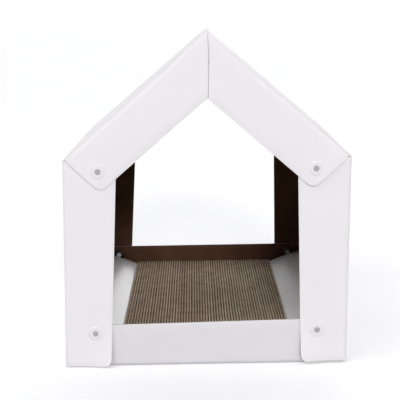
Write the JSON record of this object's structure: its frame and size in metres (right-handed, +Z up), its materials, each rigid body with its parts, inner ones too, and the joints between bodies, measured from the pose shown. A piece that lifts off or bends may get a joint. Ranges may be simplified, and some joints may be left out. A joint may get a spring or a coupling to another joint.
{
  "type": "cat condo",
  "caption": "House-shaped cat condo of folded, riveted sheet panels, open at front and rear, with a corrugated scratch pad held in a card tray on its floor.",
  "frame": {"origin": "on the floor under the middle of the house", "axes": "+Z up, front doorway towards -Y, +X to the right seen from the front"},
  "size_m": [0.3, 0.378, 0.3518],
  "materials": {
    "panel_white": "satin",
    "tray_card": "satin",
    "corrugated_board": "matte",
    "rivet_white": "satin",
    "socket_brown": "satin"
  },
  "bodies": {
    "house": {"left_wall_panel": "panel_white", "right_wall_panel": "panel_white", "left_roof_panel": "panel_white", "right_roof_panel": "panel_white", "floor_panel": "panel_white", "front_left_eave_rivet": "rivet_white", "front_right_eave_rivet": "rivet_white", "rear_left_eave_rivet": "rivet_white", "rear_right_eave_rivet": "rivet_white", "front_left_floor_rivet": "rivet_white", "front_right_floor_rivet": "rivet_white", "rear_left_floor_rivet": "rivet_white", "rear_right_floor_rivet": "rivet_white", "front_left_eave_socket": "socket_brown", "front_right_eave_socket": "socket_brown", "rear_left_eave_socket": "socket_brown", "rear_right_eave_socket": "socket_brown", "front_left_floor_socket": "socket_brown", "front_right_floor_socket": "socket_brown", "rear_left_floor_socket": "socket_brown", "rear_right_floor_socket": "socket_brown"},
    "tray": {"scratcher_tray": "tray_card"},
    "pad": {"scratch_pad_strips": "corrugated_board"}
  },
  "joints": [
    {"name": "tray_lift", "type": "slide", "parent": "house", "child": "tray", "axis": [0, 0, 1], "range_m": [0, 0.06]},
    {"name": "pad_lift", "type": "slide", "parent": "tray", "child": "pad", "axis": [0, 0, 1], "range_m": [0, 0.055]}
  ]
}
